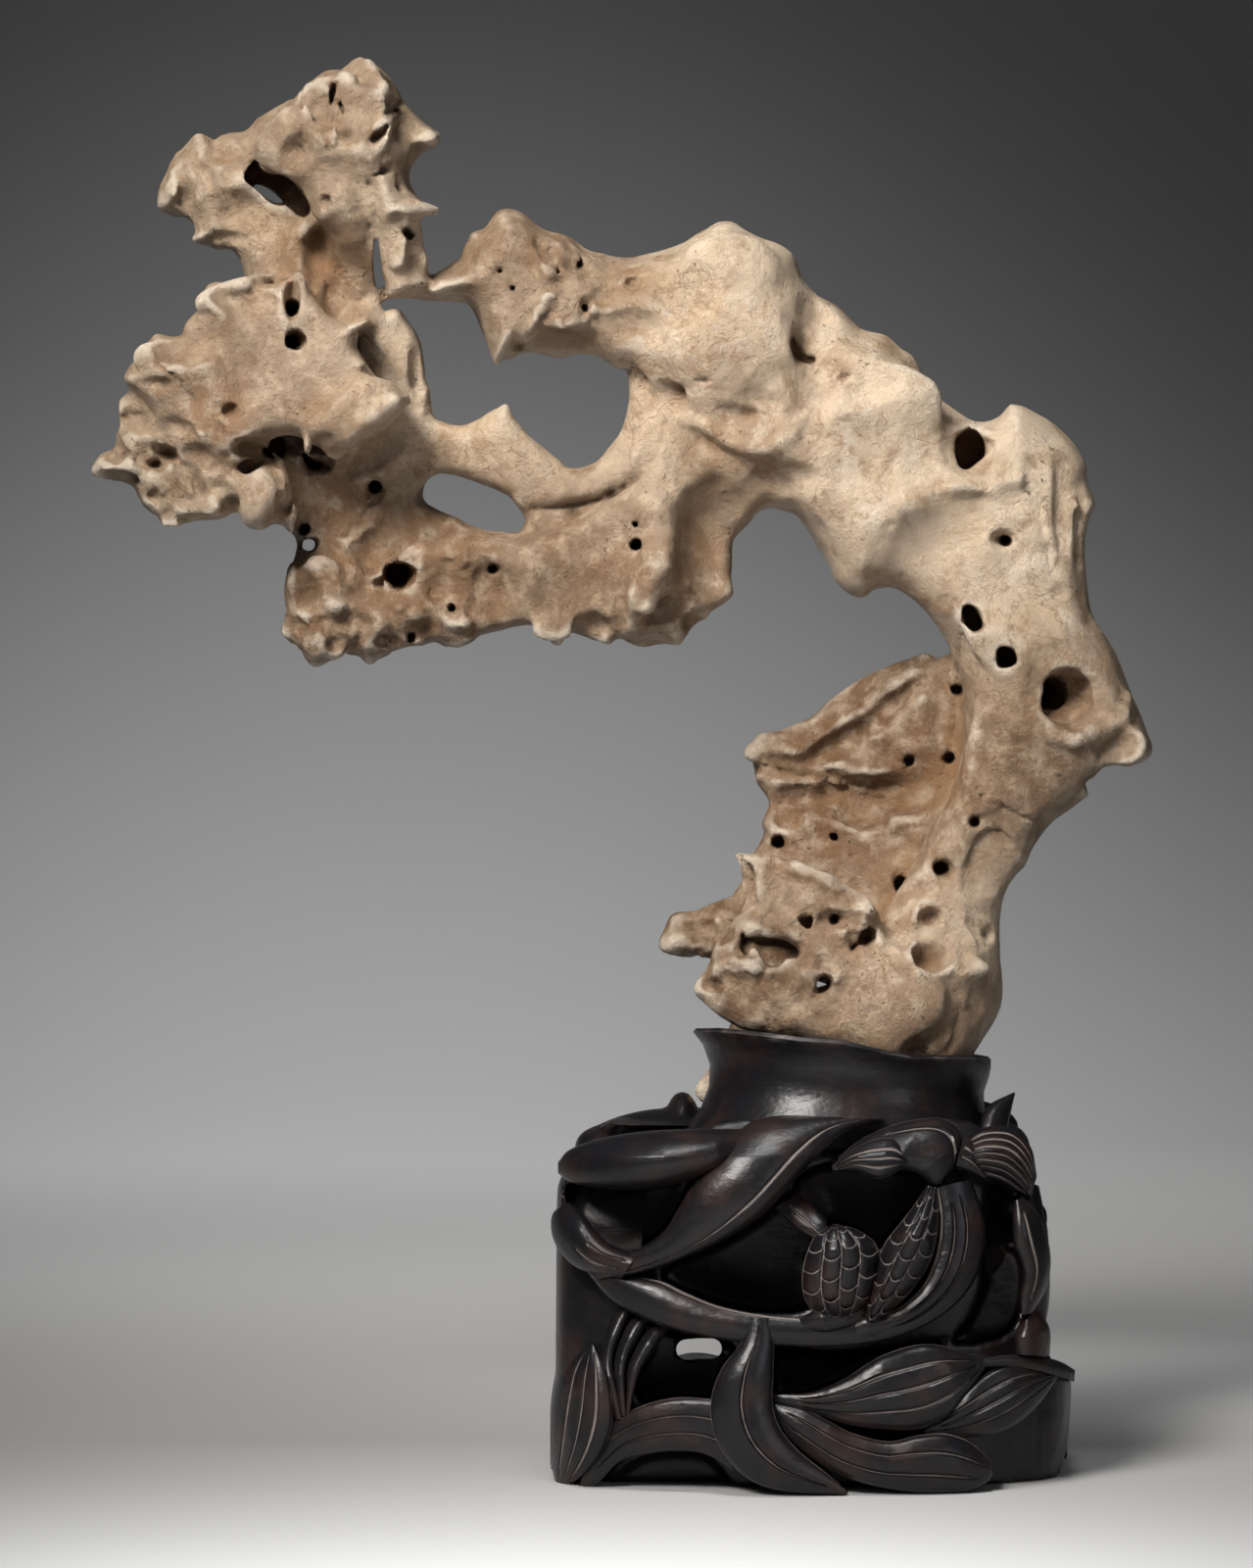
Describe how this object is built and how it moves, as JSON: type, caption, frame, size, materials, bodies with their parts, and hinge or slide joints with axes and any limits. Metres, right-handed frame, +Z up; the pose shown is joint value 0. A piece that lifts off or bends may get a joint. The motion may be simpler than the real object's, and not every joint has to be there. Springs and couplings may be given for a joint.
{
  "type": "scholars rock on carved stand",
  "caption": "Pierced, top-heavy scholar's rock leaning out over a dark carved wooden stand with a flared collar, leaves, buds and scaly cobs.",
  "frame": {"origin": "middle of the stand's flat underside, on the floor", "axes": "+Z up, -Y towards the front, +X to the right seen from the front; the stone leans out towards -X"},
  "size_m": [0.5393, 0.245, 0.7144],
  "materials": {
    "pale_stone": "cream to ochre limestone, matt, browner in the hollows",
    "dark_wood": "near-black stained hardwood, half gloss, worn paler along the carved edges"
  },
  "bodies": {
    "root": {"rock": "pale_stone", "stand": "dark_wood"}
  },
  "joints": []
}
